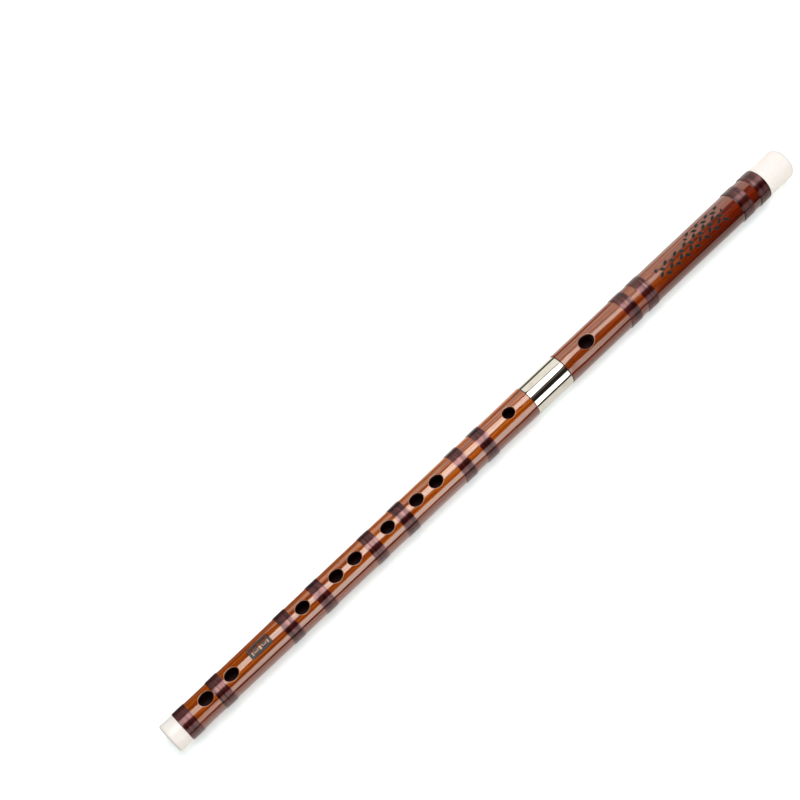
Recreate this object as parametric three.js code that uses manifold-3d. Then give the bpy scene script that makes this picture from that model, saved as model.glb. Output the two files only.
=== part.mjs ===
// Transverse bamboo flute in two sections, joined by a metal tuning joint. Millimetres, +Z up.
// The flute lies with its finger holes facing up, its foot end at -X and its head end at +X.
// Every piece is turned about the flute's axis, and places along it are counted from the
// foot end of the bamboo. The origin is under the middle of the flute, on the rest surface.

import * as THREE from "three";
import { mergeVertices } from "three/addons/utils/BufferGeometryUtils.js";
import Module from "manifold-3d";

const wasm = await Module();
wasm.setup();

// Air column and lengths of the two bamboo sections
const boreDiameter = 15.0;
const footSectionLength = 298.1;
const headSectionLength = 187.0;

// Metal tuning joint, from the bore outwards
const tenonWall = 1.4;
const slideWall = 0.8;
const socketWall = 1.2;
const socketLength = 31.0;
const headTenonLength = 11.0;
const slideEndGap = 0.4;
const engagedAtFullDraw = 4.5;
const socketEdgeRound = 0.45;
const tenonChamfer = 0.4;

// How far the bamboo stands over the joint's socket, and how it tapers from there
const footStandOff = 0.05;
const headStandOff = 0.25;
const footTaper = 0.95;
const headSwell = 0.1;
const bambooEdgeChamfer = 0.2;

// End caps: an open ring at the foot and a closed plug at the head
const footCapLength = 10.6;
const footCapFlare = 0.3;
const footCapRound = 1.6;
const footSpigotWall = 1.2;
const footSpigotLength = 8.0;
const headCapLength = 23.6;
const headCapRound = 3.2;
const headSpigotLength = 12.0;
const capSetBack = 0.1;

// Cork that closes the bore just past the blow hole
const stopperLength = 18.0;
const stopperFromBlowHole = 3.5;
const stopperSqueeze = 0.05;

// Tone holes: length along the flute, width across it
const fingerHole = { length: 9.6, width: 7.8 };
const endHole = { length: 9.9, width: 8.3 };
const membraneHole = { length: 9.0, width: 6.9 };
const blowHole = { length: 11.1, width: 9.2 };
const backHole = { length: 8.6, width: 7.4 };
const blowHoleFromMouth = 21.7;
const holeBevel = 0.35;
const bevelDepth = 0.5;

// Turn of each hole row about the flute: the head section is set a little towards the player
const frontTurn = 0;
const backTurn = Math.PI;
const blowHoleTurn = THREE.MathUtils.degToRad(5.5);

// Places of the holes along the foot section, foot end first
const fingerHoleShares = [0.3418, 0.4368, 0.4904, 0.5857, 0.6699, 0.7276];
const frontEndHoleShares = [0.0728, 0.1432];
const backEndHoleShares = [0.201, 0.255];
const membraneHoleShare = 0.9436;

// Thread bindings: bands of lacquered thread whose outer layer winds as one ridge
const bindingWidth = 9.3;
const bindingRim = 0.2;
const threadStand = 0.42;
const ridgeDepth = 0.16;
const footBindingShares = [0.1075, 0.2979, 0.3895, 0.5382, 0.6271, 0.7974, 0.8625];
const headBindingShares = [0.3155, 0.4005, 0.8898];

// Clearances: glued faces, turning or sliding faces, and the seats at the joint's shoulders
const glueLine = 0.05;
const slideClearance = 0.05;
const seatGap = 0.05;
const cutOverrun = 2.0;

// Counts of facets
const turnedSides = 48;
const holeSides = 24;
const windingSides = 24;
const windingTurns = 5;
const arcSteps = 2;

// Radii and places that follow from the sizes above
const boreRadius = boreDiameter / 2;
const footTenonRadius = boreRadius + tenonWall;
const slideInnerRadius = footTenonRadius + glueLine;
const slideRadius = slideInnerRadius + slideWall;
const socketInnerRadius = slideRadius + slideClearance;
const socketRadius = socketInnerRadius + socketWall;
const headTenonRadius = socketInnerRadius - slideClearance;
const footShoulderRadius = socketRadius + footStandOff;
const footEndRadius = footShoulderRadius - footTaper;
const headMouthRadius = socketRadius + headStandOff;
const headEndRadius = headMouthRadius + headSwell;
const footSpigotRadius = boreRadius + footSpigotWall;
const headMouth = footSectionLength + socketLength + 2 * seatGap;
const headEnd = headMouth + headSectionLength;
const slideLength = socketLength - headTenonLength - slideEndGap;
const drawRange = slideLength - engagedAtFullDraw;
const blowHoleCentre = headMouth + blowHoleFromMouth;
const overallStart = -glueLine - footCapLength;
const overallEnd = headEnd + glueLine + headCapLength;

// Outer radius of the bamboo at a place along the flute
function bambooRadius(along) {
  if (along <= footSectionLength) {
    return THREE.MathUtils.lerp(footEndRadius, footShoulderRadius, along / footSectionLength);
  }
  return THREE.MathUtils.lerp(headMouthRadius, headEndRadius, (along - headMouth) / headSectionLength);
}

// Lathe profile: x is the radius and y the place along the flute. It runs up the outside and
// back down the inside, and it closes on itself unless it starts and ends on the axis.
function turned(path, sides = turnedSides) {
  const points = path.getPoints(arcSteps);
  const closed = points[0].x > 0 && !points[0].equals(points[points.length - 1]);
  if (closed) {
    points.push(points[0].clone());
  }
  const geometry = new THREE.LatheGeometry(points, sides);
  return geometry.rotateZ(-Math.PI / 2);
}

// A closed surface as a manifold solid, with shared vertices merged and flat triangles dropped
function toSolid(geometry) {
  const bare = geometry.clone();
  bare.deleteAttribute("normal");
  bare.deleteAttribute("uv");
  const merged = mergeVertices(bare);
  const index = Array.from(merged.index.array);
  const kept = [];
  for (let i = 0; i < index.length; i += 3) {
    const [a, b, c] = index.slice(i, i + 3);
    if (a !== b && b !== c && c !== a) {
      kept.push(a, b, c);
    }
  }
  const vertProperties = new Float32Array(merged.attributes.position.array);
  return new wasm.Manifold(new wasm.Mesh({ numProp: 3, vertProperties, triVerts: new Uint32Array(kept) }));
}

// A manifold solid back as a three.js geometry
function toGeometry(solid) {
  const mesh = solid.getMesh();
  const geometry = new THREE.BufferGeometry();
  geometry.setAttribute("position", new THREE.BufferAttribute(mesh.vertProperties, mesh.numProp));
  geometry.setIndex(new THREE.BufferAttribute(mesh.triVerts, 1));
  geometry.computeVertexNormals();
  return geometry;
}

// Oval cutter for a hole with a bevelled rim, from the flute's axis out. It points along +Z,
// turned about the flute by the turn of its row.
function holeCutter({ hole, along, turn }) {
  const surface = bambooRadius(along);
  const flare = 1 + (2 * holeBevel) / hole.width;
  const profile = new THREE.Path();
  profile.moveTo(0, 0);
  profile.lineTo(1, 0);
  profile.lineTo(1, surface - bevelDepth);
  profile.lineTo(flare, surface);
  profile.lineTo(flare, surface + cutOverrun);
  profile.lineTo(0, surface + cutOverrun);
  const cutter = new THREE.LatheGeometry(profile.getPoints(), holeSides);
  cutter.rotateX(Math.PI / 2);
  cutter.scale(hole.length / 2, hole.width / 2, 1);
  return cutter.rotateX(turn).translate(along, 0, 0);
}

// Bamboo section with its holes cut
function boredBamboo(profile, holes) {
  const tube = toSolid(turned(profile));
  return toGeometry(holes.reduce((solid, place) => solid.subtract(toSolid(holeCutter(place))), tube));
}

function holeRow(hole, shares, turn) {
  return shares.map((share) => ({ hole, along: share * footSectionLength, turn }));
}

// Foot section: tapered tube, counterbored for the cap, with a thin tenon for the slide
function footSection() {
  const shoulder = footSectionLength;
  const tenonEnd = shoulder + seatGap + slideLength;
  const counterbore = footSpigotRadius + glueLine;
  const counterboreDepth = footSpigotLength + glueLine;
  const profile = new THREE.Path();
  profile.moveTo(counterbore, 0);
  profile.lineTo(footEndRadius - bambooEdgeChamfer, 0);
  profile.lineTo(footEndRadius, bambooEdgeChamfer);
  profile.lineTo(footShoulderRadius, shoulder - bambooEdgeChamfer);
  profile.lineTo(footShoulderRadius - bambooEdgeChamfer, shoulder);
  profile.lineTo(footTenonRadius, shoulder);
  profile.lineTo(footTenonRadius, tenonEnd);
  profile.lineTo(boreRadius, tenonEnd);
  profile.lineTo(boreRadius, counterboreDepth);
  profile.lineTo(counterbore, counterboreDepth);
  return boredBamboo(profile, [
    ...holeRow(endHole, frontEndHoleShares, frontTurn),
    ...holeRow(fingerHole, fingerHoleShares, frontTurn),
    ...holeRow(membraneHole, [membraneHoleShare], frontTurn),
    ...holeRow(backHole, backEndHoleShares, backTurn),
  ]);
}

// Head section: a tenon that fills the socket's far end, then a plain tube to the cap
function headSection() {
  const tenonStart = headMouth - seatGap - headTenonLength;
  const profile = new THREE.Path();
  profile.moveTo(boreRadius, tenonStart);
  profile.lineTo(headTenonRadius - tenonChamfer, tenonStart);
  profile.lineTo(headTenonRadius, tenonStart + tenonChamfer);
  profile.lineTo(headTenonRadius, headMouth);
  profile.lineTo(headMouthRadius - bambooEdgeChamfer, headMouth);
  profile.lineTo(headMouthRadius, headMouth + bambooEdgeChamfer);
  profile.lineTo(headEndRadius, headEnd - bambooEdgeChamfer);
  profile.lineTo(headEndRadius - bambooEdgeChamfer, headEnd);
  profile.lineTo(boreRadius, headEnd);
  return boredBamboo(profile, [{ hole: blowHole, along: blowHoleCentre, turn: blowHoleTurn }]);
}

// Male half of the joint: a thin metal tube glued over the foot section's tenon
function jointSlide() {
  const start = footSectionLength + seatGap;
  const end = start + slideLength;
  const profile = new THREE.Path();
  profile.moveTo(slideInnerRadius, start);
  profile.lineTo(slideRadius, start);
  profile.lineTo(slideRadius, end - tenonChamfer);
  profile.lineTo(slideRadius - tenonChamfer, end);
  profile.lineTo(slideInnerRadius, end);
  return turned(profile);
}

// Female half of the joint: the bare metal sleeve, with both of its rims rounded
function jointSocket() {
  const start = footSectionLength + seatGap;
  const end = start + socketLength;
  const rim = socketEdgeRound;
  const profile = new THREE.Path();
  profile.moveTo(socketInnerRadius, start);
  profile.lineTo(socketRadius - rim, start);
  profile.absarc(socketRadius - rim, start + rim, rim, -Math.PI / 2, 0);
  profile.lineTo(socketRadius, end - rim);
  profile.absarc(socketRadius - rim, end - rim, rim, 0, Math.PI / 2);
  profile.lineTo(socketInnerRadius, end);
  return turned(profile);
}

// Foot cap: an open ring, a little flared, on a spigot glued into the bamboo
function footCap() {
  const face = -glueLine;
  const end = overallStart;
  const base = footEndRadius - capSetBack;
  const flared = base + footCapFlare;
  const round = footCapRound;
  const profile = new THREE.Path();
  profile.moveTo(boreRadius, end);
  profile.lineTo(flared - round, end);
  profile.absarc(flared - round, end + round, round, -Math.PI / 2, 0);
  profile.lineTo(base, face);
  profile.lineTo(footSpigotRadius, face);
  profile.lineTo(footSpigotRadius, footSpigotLength);
  profile.lineTo(boreRadius, footSpigotLength);
  return turned(profile);
}

// Head cap: a closed plug with a rounded end, on a solid spigot in the bore
function headCap() {
  const face = headEnd + glueLine;
  const end = overallEnd;
  const spigotRadius = boreRadius - glueLine;
  const outer = headEndRadius - capSetBack;
  const round = headCapRound;
  const profile = new THREE.Path();
  profile.moveTo(0, headEnd - headSpigotLength);
  profile.lineTo(spigotRadius, headEnd - headSpigotLength);
  profile.lineTo(spigotRadius, face);
  profile.lineTo(outer, face);
  profile.lineTo(outer, end - round);
  profile.absarc(outer - round, end - round, round, 0, Math.PI / 2);
  profile.lineTo(0, end);
  return turned(profile);
}

// Cork stopper just past the blow hole
function headStopper() {
  const start = blowHoleCentre + blowHole.length / 2 + stopperFromBlowHole;
  const radius = boreRadius - stopperSqueeze;
  const profile = new THREE.Path();
  profile.moveTo(0, start);
  profile.lineTo(radius, start);
  profile.lineTo(radius, start + stopperLength);
  profile.lineTo(0, start + stopperLength);
  return turned(profile);
}

// Point on a helix about the flute's axis, one pitch per turn, counted in steps round it
function helixPoint(radius, pitch, step, shift) {
  const turn = step / windingSides;
  const angle = turn * 2 * Math.PI;
  return new THREE.Vector3(pitch * turn + shift, -radius * Math.sin(angle), radius * Math.cos(angle));
}

// Solid rod whose surface is one unbroken helical ridge: the outer layer of a binding.
// Valleys and crests each run as one helix, half a pitch apart, and a fan closes each end.
function ridgedRod(valleyRadius, crestRadius, pitch, turns) {
  const steps = windingSides * turns;
  const points = [];
  const faces = [];
  for (let k = 0; k <= steps + windingSides; k += 1) {
    points.push(helixPoint(valleyRadius, pitch, k, 0));
  }
  const crest = points.length;
  for (let k = 0; k <= steps; k += 1) {
    points.push(helixPoint(crestRadius, pitch, k, pitch / 2));
  }
  const startCentre = points.length;
  points.push(new THREE.Vector3(0, 0, 0), new THREE.Vector3((turns + 1) * pitch, 0, 0));
  const endCentre = startCentre + 1;
  for (let k = 0; k < steps; k += 1) {
    const next = k + windingSides;
    faces.push(k, k + 1, crest + k, crest + k, k + 1, crest + k + 1);
    faces.push(crest + k, crest + k + 1, next, next, crest + k + 1, next + 1);
  }
  for (let k = 0; k < windingSides; k += 1) {
    faces.push(startCentre, k + 1, k);
    faces.push(endCentre, steps + k, steps + k + 1);
  }
  faces.push(startCentre, 0, crest, startCentre, crest, windingSides);
  faces.push(endCentre, steps + windingSides, crest + steps, endCentre, crest + steps, steps);
  const geometry = new THREE.BufferGeometry().setFromPoints(points);
  return geometry.setIndex(faces);
}

// Thread binding: the ridged rod cut square at both ends and bored to slip over the bamboo
function binding(centre) {
  const start = centre - bindingWidth / 2;
  const end = start + bindingWidth;
  const pitch = bindingWidth / windingTurns;
  const surface = bambooRadius(centre);
  const crestRadius = surface + threadStand;
  const facetSag = 1 / Math.cos(Math.PI / windingSides);
  const rod = ridgedRod(crestRadius - ridgeDepth, crestRadius, pitch, windingTurns + 2);
  rod.translate(start - 1.5 * pitch, 0, 0);
  const sleeve = new THREE.Path();
  sleeve.moveTo((bambooRadius(start) + glueLine) * facetSag, start);
  sleeve.lineTo(crestRadius + cutOverrun, start);
  sleeve.lineTo(crestRadius + cutOverrun, end);
  sleeve.lineTo((bambooRadius(end) + glueLine) * facetSag, end);
  return toGeometry(toSolid(rod).intersect(toSolid(turned(sleeve, windingSides))));
}

// Least distance between two neighbouring turns of a winding's crest, measured on points
function leastTurnGap(radius) {
  const pitch = bindingWidth / windingTurns;
  let least = Infinity;
  for (let k = 0; k < windingSides; k += 1) {
    const here = helixPoint(radius, pitch, k, 0);
    for (let step = k + windingSides / 2; step <= k + 2 * windingSides; step += 1) {
      least = Math.min(least, here.distanceTo(helixPoint(radius, pitch, step, 0)));
    }
  }
  return least;
}

const materials = {
  footBamboo: new THREE.MeshStandardMaterial({ color: "#9c4a14", roughness: 0.22, metalness: 0 }),
  headBamboo: new THREE.MeshStandardMaterial({ color: "#7d2c0f", roughness: 0.22, metalness: 0 }),
  metal: new THREE.MeshStandardMaterial({ color: "#e6e2d8", roughness: 0.12, metalness: 1 }),
  cap: new THREE.MeshStandardMaterial({ color: "#fdf6ee", roughness: 0.35, metalness: 0 }),
  cork: new THREE.MeshStandardMaterial({ color: "#b58a58", roughness: 0.9, metalness: 0 }),
  thread: new THREE.MeshStandardMaterial({ color: "#4e2a2e", roughness: 0.4, metalness: 0 }),
};

const flute = new THREE.Group();

function addPiece(name, geometry, material) {
  const piece = new THREE.Mesh(geometry, material);
  piece.name = name;
  flute.add(piece);
}

addPiece("foot_section", footSection(), materials.footBamboo);
addPiece("head_section", headSection(), materials.headBamboo);
addPiece("joint_slide", jointSlide(), materials.metal);
addPiece("joint_socket", jointSocket(), materials.metal);
addPiece("foot_cap", footCap(), materials.cap);
addPiece("head_cap", headCap(), materials.cap);
addPiece("head_stopper", headStopper(), materials.cork);

// The end bindings keep a thin rim of bamboo to the caps, the others have places of their own
const endInset = bindingRim + bindingWidth / 2;
const bindingCentres = [
  endInset,
  ...footBindingShares.map((share) => share * footSectionLength),
  ...headBindingShares.map((share) => headMouth + share * headSectionLength),
  headEnd - endInset,
];
bindingCentres.forEach((centre, i) => {
  addPiece(`binding_${String(i + 1).padStart(2, "0")}`, binding(centre), materials.thread);
});

console.log(`least gap between turns of a binding: ${leastTurnGap(footEndRadius + threadStand).toFixed(2)} mm`);
console.log(`tuning joint draws ${drawRange.toFixed(1)} mm; overall ${(overallEnd - overallStart).toFixed(1)} mm`);

// The highest bindings touch the rest surface, and the origin is under the middle of the flute
flute.position.set(-(overallStart + overallEnd) / 2, 0, bambooRadius(headEnd - endInset) + threadStand);

const part = new THREE.Group();
part.add(flute);

export default part;
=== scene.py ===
"""Looks of a jointed transverse bamboo flute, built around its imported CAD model.

The flute lies along +X with its finger holes facing +Z. Shapes are worked out in
millimetres as (along, angle, radius): along is counted from the foot end of the bamboo,
angle turns about the flute's axis from +Z towards +Y, and radius is taken from that axis.
They are put into meshes in metres, in the frame of the CAD model.
"""

import logging
import math
from dataclasses import dataclass, field
from enum import Enum
from typing import Any, Sequence

import bpy
import numpy as np
from mathutils import Matrix, Vector


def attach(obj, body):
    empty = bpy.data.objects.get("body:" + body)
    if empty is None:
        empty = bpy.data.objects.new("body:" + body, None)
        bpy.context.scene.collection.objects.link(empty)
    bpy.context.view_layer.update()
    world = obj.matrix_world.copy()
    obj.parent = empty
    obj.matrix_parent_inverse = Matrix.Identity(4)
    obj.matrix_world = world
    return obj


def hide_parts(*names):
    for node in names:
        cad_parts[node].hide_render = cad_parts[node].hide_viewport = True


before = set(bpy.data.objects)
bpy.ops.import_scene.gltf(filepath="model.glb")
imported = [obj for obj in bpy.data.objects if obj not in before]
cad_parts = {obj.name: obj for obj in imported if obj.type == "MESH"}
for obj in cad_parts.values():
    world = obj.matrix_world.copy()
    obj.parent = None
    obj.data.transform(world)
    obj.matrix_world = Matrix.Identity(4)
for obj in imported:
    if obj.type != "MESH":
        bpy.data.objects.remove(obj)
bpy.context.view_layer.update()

logging.basicConfig(level=logging.INFO, format="%(message)s")
log = logging.getLogger("flute")

MM = 0.001  # metres in a millimetre
DEGREES = 180 / math.pi  # degrees in a radian

# Place of the flute in the CAD frame, and the sizes that several sub-assemblies share, in mm
FRAME_MIDDLE = 264.6
AXIS_HEIGHT = 11.7674
BORE_RADIUS = 7.5
FOOT_LENGTH = 298.1
FOOT_RADII = (10.1, 11.05)
HEAD_MOUTH = 329.2
HEAD_LENGTH = 187.0
HEAD_RADII = (11.25, 11.35)
GLUE_LINE = 0.05
TENON_END = 317.75
TENON_RADIUS = 8.9
SLIDE_RADIUS = 9.75
SOCKET_INNER_RADIUS = 9.8
SOCKET_RADIUS = 11.0

# Radius at which the engraved ornaments' sizes are counted
MARK_RADIUS = 11.3

# Mesh attributes of the thread, from 0 to 1: the tone of each turn, and the height on a turn
TURN_TONE = "turn_tone"
THREAD_CREST = "thread_crest"

# Creases sharper than this are shaded as edges, and rounder ones as one smooth surface
CREASE_ANGLE = math.radians(38)

# Greatest turn between two points of a rounded corner, in degrees
ARC_STEP = 11

Tree = bpy.types.NodeTree
Ramp = tuple[float, ...]  # a smooth ramp's low and high and, unless 0 and 1, what they become
Corner = tuple[float, float, float]  # (along, radius, rounding radius) of a profile's corner


class Body(str, Enum):
    """Bodies of the CAD model that a piece can ride on."""

    FOOT = "foot"
    SOCKET = "socket"
    HEAD = "head"


class Slot(str, Enum):
    """Material slots of the record."""

    FOOT_BAMBOO = "foot_bamboo"
    HEAD_BAMBOO = "head_bamboo"
    WHITE_METAL = "white_metal"
    CAP = "cap_plastic"
    CORK = "cork"
    THREAD = "thread"


def linear(hex_colour: str) -> tuple[float, float, float, float]:
    """Turns an sRGB hex colour to linear RGBA.

    Args:
        hex_colour: six hex digits after a hash.

    Returns:
        The linear red, green and blue, and an alpha of 1.
    """
    parts = np.array([int(hex_colour[i:i + 2], 16) for i in (1, 3, 5)]) / 255
    curve = np.where(parts <= 0.04045, parts / 12.92, ((parts + 0.055) / 1.055) ** 2.4)
    return (*curve.tolist(), 1.0)


def brightened(hex_colour: str, strength: float) -> list[float]:
    """Turns an sRGB hex colour to linear RGBA, with its light multiplied."""
    return [part * strength for part in linear(hex_colour)[:3]] + [1.0]


def bamboo_radius(along: np.ndarray | float) -> np.ndarray:
    """Outer radius of the bamboo: two straight tapers, one for each section.

    Args:
        along: places along the flute, in mm.

    Returns:
        The radius at each place, in mm.
    """
    along = np.asarray(along, float)
    tapers = ((0.0, FOOT_LENGTH, FOOT_RADII), (HEAD_MOUTH, HEAD_LENGTH, HEAD_RADII))
    foot, head = (near + (far - near) * (along - start) / length
                  for start, length, (near, far) in tapers)
    return np.where(along <= FOOT_LENGTH, foot, head)


def bend_profile(corners: Sequence[Corner], step: float = 3.0, closed: bool = False) -> np.ndarray:
    """Draws a turned profile through corners that may be rounded.

    Each rounded corner becomes a circular arc that touches both of its sides, at
    start + round * (sin(t) * incoming + (1 - cos(t)) * inward) for t from 0 to the turn.
    Straight runs are split evenly, so that no part of them is longer than the step.

    Args:
        corners: the corners, in mm.
        step: greatest length of a straight part, in mm.
        closed: whether the last corner joins the first.

    Returns:
        Points (along, radius), one row each.
    """
    spots = np.array([c[:2] for c in corners], float)
    count = len(spots)
    pieces = []
    for i, (*_, rounding) in enumerate(corners):
        ahead, behind = spots[(i + 1) % count] - spots[i], spots[i] - spots[i - 1]
        if rounding <= 0 or (not closed and i in (0, count - 1)):
            pieces.append(spots[i][None])
            continue
        ahead, behind = ahead / np.linalg.norm(ahead), behind / np.linalg.norm(behind)
        turn = math.acos(float(np.clip(ahead @ behind, -1, 1)))
        inward = ahead - (ahead @ behind) * behind
        inward /= np.linalg.norm(inward)
        start = spots[i] - behind * rounding * math.tan(turn / 2)
        t = np.linspace(0, turn, 2 + int(math.degrees(turn) / ARC_STEP))[:, None]
        pieces.append(start + rounding * (np.sin(t) * behind + (1 - np.cos(t)) * inward))
    chain = pieces[0]
    for piece in pieces[1:] + ([pieces[0]] if closed else []):
        parts = max(1, math.ceil(np.linalg.norm(piece[0] - chain[-1]) / step))
        chain = np.vstack([chain, np.linspace(chain[-1], piece[0], parts + 1)[1:-1], piece])
    return chain[:-len(pieces[0])] if closed else chain


def grid_points(along: np.ndarray, angle: np.ndarray, radius: np.ndarray) -> np.ndarray:
    """Spreads three arrays over one grid, as (along, angle, radius) of each of its points."""
    return np.stack(np.broadcast_arrays(along, angle, radius), -1)


def grid_faces(rows: int, columns: int, keep: np.ndarray | None = None,
               wrap_rows: bool = True) -> tuple[np.ndarray, np.ndarray]:
    """Quads of a grid whose columns close round the flute, numbered row by row.

    Args:
        rows: number of rows along the profile.
        columns: number of vertices round the flute.
        keep: True for each quad that is kept, as (rows, columns).
        wrap_rows: whether the last row joins the first.

    Returns:
        The quads, and the row that each one starts from.
    """
    last = rows if wrap_rows else rows - 1
    keep = np.ones((last, columns), bool) if keep is None else keep
    i, j = np.nonzero(keep)
    up, right = (i + 1) % rows, (j + 1) % columns
    corners = (i * columns + j, up * columns + j, up * columns + right, i * columns + right)
    return np.stack(corners, 1), i


def add_object(name: str, data: bpy.types.ID) -> bpy.types.Object:
    """Makes an object and links it to the scene.

    Args:
        name: name of the object.
        data: its mesh, lamp or camera.

    Returns:
        The object, at the origin.
    """
    thing = bpy.data.objects.new(name, data)
    bpy.context.scene.collection.objects.link(thing)
    return thing


@dataclass
class Surface:
    """A closed surface in flute coordinates, gathered block by block.

    Attributes:
        points: (along, angle, radius) of each vertex, in mm and radians.
        faces: blocks of faces, each an array of vertex numbers with 3 or 4 columns.
        finishes: the material number of each face, block by block.
    """

    points: np.ndarray
    faces: list[np.ndarray] = field(default_factory=list)
    finishes: list[np.ndarray] = field(default_factory=list)

    def add_faces(self, faces: np.ndarray, finish: np.ndarray | int = 0) -> None:
        """Adds a block of faces with one finish, or one for each face."""
        self.faces.append(faces)
        self.finishes.append(np.broadcast_to(finish, len(faces)))

    def add_points(self, points: np.ndarray) -> int:
        """Adds vertices and returns the number of the first of them."""
        self.points = np.vstack([self.points, points])
        return len(self.points) - len(points)

    def close_ends(self, columns: int, poles: np.ndarray) -> None:
        """Closes a grid's first and last rows, each with a fan of triangles to its pole.

        Args:
            columns: number of vertices in a row.
            poles: the two poles' points.
        """
        pole = self.add_points(poles)
        side = np.arange(columns)
        beside = (side + 1) % columns
        far = pole - columns
        self.add_faces(np.stack([np.full(columns, pole), side, beside], 1))
        self.add_faces(np.stack([np.full(columns, pole + 1), far + beside, far + side], 1))

    def to_object(self, name: str, materials: Sequence[bpy.types.Material]) -> bpy.types.Object:
        """Makes the surface an object at the origin.

        A point goes to x = along - middle, y = radius * sin(angle) and
        z = axis height + radius * cos(angle), all turned to metres.

        Args:
            name: name of the object and its mesh.
            materials: material of each finish number.

        Returns:
            The object, linked to the scene.
        """
        along, angle, radius = self.points.T
        spots = (along - FRAME_MIDDLE, radius * np.sin(angle), AXIS_HEIGHT + radius * np.cos(angle))
        mesh = bpy.data.meshes.new(name)
        mesh.from_pydata((np.stack(spots, 1) * MM).tolist(), [],
                         [f for block in self.faces for f in block.tolist()])
        for material in materials:
            mesh.materials.append(material)
        finishes = np.concatenate(self.finishes).astype(np.int32)
        mesh.polygons.foreach_set("material_index", finishes)
        mesh.polygons.foreach_set("use_smooth", np.ones(len(finishes), bool))
        mesh.set_sharp_from_angle(angle=CREASE_ANGLE)
        mesh.validate()
        mesh.update()
        return add_object(name, mesh)


def revolve(profile: np.ndarray, sides: int = 128) -> Surface:
    """Turns a closed profile about the flute's axis.

    The point at (row, side) is (along, 2 pi side / sides, radius) of that row's profile point.
    A profile that starts and ends on the axis gets one vertex at each pole.

    Args:
        profile: points (along, radius), outside in the +X direction.
        sides: number of vertices round the flute.

    Returns:
        The closed surface.
    """
    on_axis = profile[0, 1] == 0
    ring = profile[1:-1] if on_axis else profile
    angle = np.linspace(0, 2 * np.pi, sides, endpoint=False)
    surface = Surface(grid_points(ring[:, :1], angle[None], ring[:, 1:]).reshape(-1, 3))
    surface.add_faces(grid_faces(len(ring), sides, wrap_rows=not on_axis)[0])
    if on_axis:
        surface.close_ends(sides, grid_points(profile[[0, -1], 0], 0, 0))
    return surface


def place(piece: bpy.types.Object, body: Body, slot: Slot, *nodes: str) -> None:
    """Puts a finished piece in place of CAD nodes and reports it.

    Args:
        piece: the piece.
        body: the body that it rides on.
        slot: the record's slot of the piece; not used.
        nodes: the CAD nodes that it stands for.
    """
    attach(piece, body.value)
    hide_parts(*nodes)
    log.info("%s: %d faces, rides on %s", piece.name, len(piece.data.polygons), body.value)


def turn_piece(name: str, corners: Sequence[Corner], material: bpy.types.Material, body: Body,
               slot: Slot, node: str, step: float = 3.0, sides: int = 128) -> None:
    """Turns a piece about the flute's axis and puts it in place of its CAD node.

    Args:
        name: name of the piece.
        corners: its profile's corners, which close up, or start and end on the axis.
        material: its finish.
        body: the body that it rides on.
        slot: the record's slot of the piece, handed to place, which does not use it.
        node: the CAD node that it stands for.
        step: greatest length of a straight part of the profile, in mm.
        sides: number of vertices round the flute.
    """
    profile = bend_profile(corners, step, closed=corners[0][1] > 0)
    place(revolve(profile, sides).to_object(name, [material]), body, slot, node)


class Kind(Enum):
    """Kinds of shader node: Blender's name, the inputs in order, the output and fixed settings."""

    PLACE = ("TexCoord", (), "Object")
    DIRECTION = ("TexCoord", (), "Generated")
    POSITION = ("NewGeometry", (), "Position")
    X = ("SeparateXYZ", (0,), 0)
    Y = ("SeparateXYZ", (0,), 1)
    Z = ("SeparateXYZ", (0,), 2)
    ATTRIBUTE = ("Attribute", (), "Fac")
    FROM_CAMERA = ("LightPath", (), "Is Camera Ray")
    FROM_GLOSS = ("LightPath", (), "Is Glossy Ray")
    FROM_GLASS = ("LightPath", (), "Is Transmission Ray")
    MAPPING = ("Mapping", ("Vector", "Location", "Scale"), 0)
    NOISE = ("TexNoise", ("Vector", "Scale", "Detail", "Roughness"), 0)
    RAMP = ("MapRange", (0, 1, 2, 3, 4), 0, {"interpolation_type": "SMOOTHSTEP"})
    STOPS = ("ValToRGB", (0,), 0)
    LAY = ("Mix", (0, 6, 7), 2, {"data_type": "RGBA"})
    TINT = ("Mix", (0, 6, 7), 2, {"data_type": "RGBA", "blend_type": "MULTIPLY"})
    RAISE = ("Bump", ("Strength", "Distance", "Height", "Normal"), 0)
    ENGRAVE = ("Bump", ("Strength", "Distance", "Height", "Normal"), 0, {"invert": True})
    DIFFUSE = ("BsdfDiffuse", ("Color",), 0)
    EMIT = ("Emission", ("Color", "Strength"), 0)
    BOTH = ("AddShader", (0, 1), 0)
    EITHER = ("MixShader", (0, 1, 2), 0)
    ADD = ("Math", (0, 1), 0, {"operation": "ADD"})
    SUBTRACT = ("Math", (0, 1), 0, {"operation": "SUBTRACT"})
    MULTIPLY = ("Math", (0, 1), 0, {"operation": "MULTIPLY"})
    POWER = ("Math", (0, 1), 0, {"operation": "POWER"})
    ROOT = ("Math", (0,), 0, {"operation": "SQRT"})
    ABSOLUTE = ("Math", (0,), 0, {"operation": "ABSOLUTE"})
    FLOOR = ("Math", (0,), 0, {"operation": "FLOOR"})
    FRACTION = ("Math", (0,), 0, {"operation": "FRACT"})
    MODULO = ("Math", (0, 1), 0, {"operation": "FLOORED_MODULO"})
    ABOVE = ("Math", (0, 1), 0, {"operation": "GREATER_THAN"})
    BELOW = ("Math", (0, 1), 0, {"operation": "LESS_THAN"})
    LEAST = ("Math", (0, 1), 0, {"operation": "MINIMUM"})
    MOST = ("Math", (0, 1), 0, {"operation": "MAXIMUM"})
    ANGLE = ("Math", (0, 1), 0, {"operation": "ARCTAN2"})


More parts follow.
